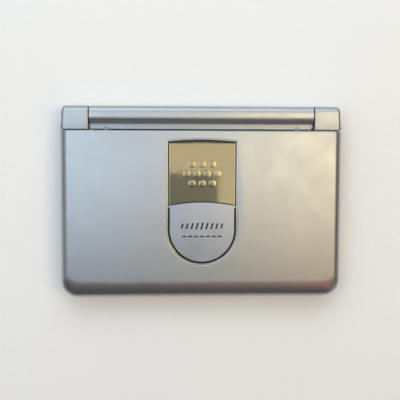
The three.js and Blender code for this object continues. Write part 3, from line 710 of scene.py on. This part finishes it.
def build_shell_mouldings():
    """Moulded pieces that keep their CAD shape, with rounded edges."""
    for node, name, body, slot, material, edge in (
            ("base_tray", "tray_moulding", "base", "silver_paint", LACQUER, 0.15),
            ("base_deck", "deck_moulding", "base", "inner_silver", INNER_LACQUER, 0.15),
            ("key_plate", "key_face_plate", "base", "dark_plastic", DARK_ABS, 0),
            ("lid_frame", "display_bezel", "lid", "inner_silver", INNER_LACQUER, 0.15),
            ("battery_cover", "battery_door", "battery_cover", "silver_paint", LACQUER, 0.12),
            ("card_flap", "card_door", "card_flap", "silver_paint", LACQUER, 0.12),
            ("volume_wheel", "volume_thumbwheel", "volume_wheel", "dark_plastic", DARK_ABS, 0.08),
            ("sound_switch", "sound_slider", "sound_switch", "dark_plastic", DARK_ABS, 0.08),
            ("stylus", "stylus_pen", "stylus", "dark_plastic", DARK_ABS, 0.05),
            ("handwriting_pad", "writing_panel", "base", "window", PANEL_FILM, 0.15),
            ("headphone_jack", "headphone_socket", "base", "dark_plastic", DARK_ABS, 0.08)):
        moulded(node, name, body, material, edge)


# ---- Keys -----------------------------------------------------------------------------------------
def key_places(node, count, width, depth):
    """The middles of a row of equal keys that fills a node's box, along X, or along Y for a column."""
    low, high = node_box(node)
    if high[0] - low[0] < high[1] - low[1]:
        return [((low[0] + high[0]) / 2, y) for y in np.linspace(high[1] - depth / 2,
                                                                 low[1] + depth / 2, count)]
    return [(x, (low[1] + high[1]) / 2) for x in np.linspace(low[0] + width / 2,
                                                             high[0] - width / 2, count)]


def lettering(words, places, z, size):
    """Generic legends as thin solids: each word is centred on its place, at height z."""
    parts = []
    for word, (x, y) in zip(words, places):
        curve = bpy.data.curves.new("legend", "FONT")
        curve.body = word
        curve.size = size
        curve.extrude = 0.015
        curve.align_x = "CENTER"
        curve.align_y = "CENTER"
        curve.resolution_u = 3
        holder = bpy.data.objects.new("legend", curve)
        bpy.context.scene.collection.objects.link(holder)
        bpy.context.view_layer.update()
        mesh = holder.evaluated_get(bpy.context.evaluated_depsgraph_get()).to_mesh()
        points = np.empty(len(mesh.vertices) * 3)
        mesh.vertices.foreach_get("co", points)
        faces = [list(polygon.vertices) for polygon in mesh.polygons]
        parts.append((points.reshape(-1, 3) + np.array([x, y, z]), faces))
        bpy.data.objects.remove(holder)
        bpy.data.curves.remove(curve)
    return gather(parts)


def build_key_row(node, count, width, depth, material, ink, words=(), size=3.6, corner=1.0,
                  lower=0.0):
    """One row or column of dished key tops, with their legends, that replaces a CAD node.

    The tops are lower than the node's by lower, and their skirts start 0.6 above its underside.
    """
    low, high = node_box(node)
    high[2] -= lower
    places = key_places(node, count, width, depth)
    half = np.array([width, depth]) / 2
    caps = [cushion(rounded_rectangle(np.array(p) - half, np.array(p) + half, corner, count=6),
                    low[2] + 0.6, high[2], 0.4, 0.16) for p in places]
    make_piece(f"{node}_tops", gather(caps), node, material, (node,), 60)
    if words:
        make_piece(f"{node}_legends", lettering(words, places, high[2] - 0.14, size), node, ink)


def build_keys():
    """All the keys but the cursor's. Their marks are letters, digits and common signs only."""
    for node, count, width, depth, words in (
            ("letter_keys_top", 10, 8.2, 7.4, "QWERTYUIOP"),
            ("letter_keys_middle", 9, 8.2, 7.4, "ASDFGHJKL"),
            ("letter_keys_bottom", 9, 8.2, 7.4, "ZXCVBNM-?")):
        build_key_row(node, count, width, depth, PEARL_KEY, DARK_INK, tuple(words))
    for node, before in (("menu_keys_rear", ""), ("menu_keys_front", "F")):
        words = tuple(f"{before}{number}" for number in range(1, 10))
        build_key_row(node, 9, 11.6, 4.8, GREY_KEY, PALE_INK, words, 2.6)
    for node, words in (("shift_keys", ("^", "Aa")), ("sound_keys", (")))", "+/-"))):
        build_key_row(node, 2, 9.6, 8.0, GREY_KEY, PALE_INK, words, 3.0)
    for node, width, depth, word in (("enter_key", 22, 7.6, "OK"), ("back_key", 10, 8, "<"),
                                     ("jump_key", 10, 8, ">")):
        build_key_row(node, 1, width, depth, PEARL_KEY, DARK_INK, (word,), 3.4)
    build_key_row("power_key", 1, 9, 3, GREY_KEY, PALE_INK, ("I/O",), 1.9, 0.8)
    build_key_row("page_rocker", 1, 20, 5.4, GREY_KEY, PALE_INK, ("<      >",), 2.8, 1.6, 0.3)


def build_cursor():
    """The cursor ring, dished towards its middle, with four raised arrow marks, and its select key."""
    low, high = node_box("cursor_pad")
    centre = ((low[0] + high[0]) / 2, (low[1] + high[1]) / 2, 0.0)
    outer, inner, top = (high[0] - low[0]) / 2, 4.3, high[2]
    profile = [(inner, low[2] + 0.4), (inner, top - 0.9), (inner + 0.2, top - 0.62), (7.0, top - 0.42),
               (9.0, top - 0.15), (outer - 0.9, top), (outer - 0.35, top - 0.06), (outer, top - 0.4),
               (outer, low[2] + 0.4)]
    make_piece("cursor_ring", turned(profile, centre, 64, ring=True), "cursor_pad", PEARL_KEY,
               ("cursor_pad",), 50)
    arrows = []
    for turn in range(4):
        c, s = math.cos(turn * PI / 2), math.sin(turn * PI / 2)
        flat = np.array([(8.6, 0.0), (7.2, 1.1), (7.2, -1.1)]) @ np.array([[c, s], [-s, c]])
        arrows.append(slab(flat[::-1] + centre[:2], top - 0.5, top - 0.14, 0.03, 1))
    make_piece("cursor_arrows", gather(arrows), "cursor_pad", DARK_INK)
    low, high = node_box("select_key")
    r = (high[0] - low[0]) / 2
    profile = [(r, low[2] + 0.4), (r, high[2] - 0.7), (r - 0.12, high[2] - 0.5), (r - 0.4, high[2] - 0.4),
               (r * 0.6, high[2] - 0.5), (0.2, high[2] - 0.58)]
    make_piece("select_button", turned(profile, centre, 48), "select_key", GREY_KEY,
               ("select_key",), 50)


# ---- Underside ------------------------------------------------------------------------------------
def build_feet():
    """Domed rubber feet, each a low disc with a rounded edge, set in the tray."""
    for place in ("front_left", "front_right", "rear_left", "rear_right"):
        low, high = node_box(f"foot_{place}")
        middle = (low + high) / 2
        r = (high[0] - low[0]) / 2
        profile = [(r, high[2] - low[2]), (r, 0.35), (r - 0.1, 0.15), (r - 0.35, 0.02), (r - 0.6, 0.0)]
        make_piece(f"rubber_{place}", turned(profile, (middle[0], middle[1], low[2]), 40),
                   "base", RUBBER, (f"foot_{place}",), 50)


def build_label():
    """A blank label on the underside, in front of the battery door."""
    under = node_box("base_tray")[0][2]
    outline = rounded_rectangle((-6, -14), (46, 14), 1.5)
    loops = [at_height(outline, under + 0.3), at_height(outline, under - 0.02),
             at_height(taken_in(outline, 0.1), under - 0.06)]
    make_piece("blank_label", skin(np.array(loops)), "base", LABEL_FILM)


# ---- CAD nodes that keep their own shape ------------------------------------------------------------
def paint_cad_nodes():
    """Gives each CAD node that is still shown the material of what it is made of."""
    kept = {
        SOLDER_MASK: ("main_board",), RUBBER: ("contact_sheet", "lid_bumper_left", "lid_bumper_right"),
        NICKEL: ("speaker", "battery_spring", "battery_contact", "card_socket", "usb_socket",
                 "hinge_pin_left", "hinge_pin_right", "lcd_backplate", "case_screw_front_left",
                 "case_screw_front_right", "case_screw_rear_left", "case_screw_rear_right"),
        SLEEVE: ("battery_cell_left", "battery_cell_right"),
        WINDOW: ("screen_window",), DISPLAY: ("lcd_panel",)}
    for material, names in kept.items():
        for name in names:
            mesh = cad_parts[name].data
            mesh.materials.clear()
            mesh.materials.append(material)


# ---- Studio ---------------------------------------------------------------------------------------
def build_floor():
    """A plain pale floor at the height of the feet.

    Far off, where no light reaches, it blends into a glow of the wall's tone that the camera alone sees.
    """
    material = grained("matt white card", "#FDFDFC", 3.0, 0.8, 0.01, tint=0.01)
    tree = material.node_tree
    place = tree.nodes["Texture Coordinate"].outputs["Object"]
    far = add(tree, "ShaderNodeVectorMath", {0: place}, operation="LENGTH").outputs["Value"]
    fade = add(tree, "ShaderNodeMapRange", {"Value": far}, interpolation_type="SMOOTHSTEP",
               From_Min=0.18, From_Max=0.75)
    seen = add(tree, "ShaderNodeLightPath").outputs["Is Camera Ray"]
    share = add(tree, "ShaderNodeMath", {0: fade.outputs[0], 1: seen}, operation="MULTIPLY")
    glow = add(tree, "ShaderNodeEmission", Color=colour("#FFFFFF"), Strength=WALL_TONE)
    blend = add(tree, "ShaderNodeMixShader", {0: share.outputs[0], 2: glow.outputs[0]})
    tree.links.new(tree.nodes["Principled BSDF"].outputs[0], blend.inputs[1])
    tree.links.new(blend.outputs[0], tree.nodes["Material Output"].inputs["Surface"])
    half = 1500.0
    mesh = bpy.data.meshes.new("floor")
    corners = [(-half, -half, 0), (half, -half, 0), (half, half, 0), (-half, half, 0)]
    mesh.from_pydata([Vector(corner) * MM for corner in corners], [], [(0, 1, 2, 3)])
    mesh.materials.append(material)
    floor = bpy.data.objects.new("floor", mesh)
    bpy.context.scene.collection.objects.link(floor)


def soft_light(name, place, aim, size, power, tint):
    """A rectangular area light of size at place, both in mm, turned towards the point aim."""
    data = bpy.data.lights.new(name, "AREA")
    data.shape = "RECTANGLE"
    data.size, data.size_y = size[0] * MM, size[1] * MM
    data.energy = power
    data.color = colour(tint)[:3]
    light = bpy.data.objects.new(name, data)
    bpy.context.scene.collection.objects.link(light)
    light.location = Vector(place) * MM
    light.rotation_euler = (Vector(aim) - Vector(place)).to_track_quat("-Z", "Y").to_euler()


def reflection_card(name, corners, radiance, tint):
    """A flat glowing card that is seen in reflections alone."""
    material = bpy.data.materials.new(name)
    material.use_nodes = True
    tree = material.node_tree
    tree.nodes.clear()
    glow = add(tree, "ShaderNodeEmission", Color=colour(tint), Strength=radiance)
    add(tree, "ShaderNodeOutputMaterial", {"Surface": glow.outputs[0]})
    mesh = bpy.data.meshes.new(name)
    mesh.from_pydata([Vector(corner) * MM for corner in corners], [], [tuple(range(len(corners)))])
    mesh.materials.append(material)
    card = bpy.data.objects.new(name, mesh)
    bpy.context.scene.collection.objects.link(card)
    card.visible_camera = card.visible_diffuse = card.visible_shadow = card.visible_transmission = False


def build_lights():
    """Cool light from behind and the left, warm light from the right, and little from the front.

    Two cards over the badge give its mirror a pale field with a grey rectangle in it, and two far off give
    it something pale to show from low down.
    """
    for name, place, size, power, tint in (
            ("window", (-420, 420, 760), (620, 620), 1.16, "#E3F3FF"),
            ("rear wall", (0, 600, 620), (800, 500), 2.68, "#EBF7FF"),
            ("low rear wall", (0, 850, 220), (900, 350), 0.86, "#E2F1FF"),
            ("left wall", (-700, 0, 520), (600, 500), 0.55, "#FFF9F9"),
            ("right wall", (600, 60, 700), (520, 520), 0.32, "#FFE3A0"),
            ("left ceiling", (-280, 50, 900), (300, 500), 1.55, "#D8ECFF"),
            ("right ceiling", (330, 150, 900), (300, 500), 0.5, "#FFFFF0"),
            ("warm lamp", (330, 50, 900), (300, 500), 1.65, "#FFE9B8"),
            ("warm bounce", (420, -420, 760), (500, 500), 0.5, "#FF8A50")):
        soft_light(name, place, (0, 0, 0), size, power, tint)
    over = [(-20, 40), (72, 40), (72, -45), (44, -45), (44, -3), (-20, -3)]
    reflection_card("pale card", [(x, y, 500) for x, y in over], 1.22, "#FFFFFF")
    over = [(-20, -3), (44, -3), (44, -45), (-20, -45)]
    reflection_card("grey card", [(x, y, 500) for x, y in over], 0.5, "#E3F1FF")
    reflection_card("far rear wall", [(-1300, 900, 80), (900, 900, 80), (900, 900, 700),
                                      (-1300, 900, 700)], 0.42, "#F2F6FF")
    reflection_card("far front corner", [(760, -520, 60), (520, -760, 60), (520, -760, 400),
                                         (760, -520, 400)], 0.5, "#FFF4E4")


def build_room():
    """A dim room, dimmer still in reflections, which the camera sees as a pale wall behind the floor."""
    world = bpy.data.worlds.new("room")
    world.use_nodes = True
    tree = world.node_tree
    ray = add(tree, "ShaderNodeLightPath").outputs
    dim = add(tree, "ShaderNodeMapRange", {"Value": ray["Is Glossy Ray"]}, To_Min=0.15, To_Max=0.02)
    strength = add(tree, "ShaderNodeMapRange", {"Value": ray["Is Camera Ray"], "To Min": dim.outputs[0]},
                   To_Max=WALL_TONE)
    background = tree.nodes["Background"]
    background.inputs["Color"].default_value = colour("#FFFFFF")
    tree.links.new(strength.outputs[0], background.inputs["Strength"])
    bpy.context.scene.world = world


def build_camera():
    """Looks squarely down on the lid, with the hinge at the top of the picture."""
    data = bpy.data.cameras.new("camera")
    data.lens = 73.9
    data.sensor_width = 36.0
    camera = bpy.data.objects.new("camera", data)
    bpy.context.scene.collection.objects.link(camera)
    camera.location = Vector((-22.85, 30.3, 430.0)) * MM
    camera.rotation_euler = tuple(math.radians(a) for a in (-4.0, -3.01, 0.21))
    data.clip_start, data.clip_end = 0.01, 10
    bpy.context.scene.camera = camera


build_floor()
build_lights()
build_room()
build_camera()
bpy.context.scene.view_settings.view_transform = "Standard"

build_lid_cover()
build_badge()
build_knuckles()
build_display_mask()
build_barrel()
build_shell_mouldings()
build_keys()
build_cursor()
build_feet()
build_label()
paint_cad_nodes()
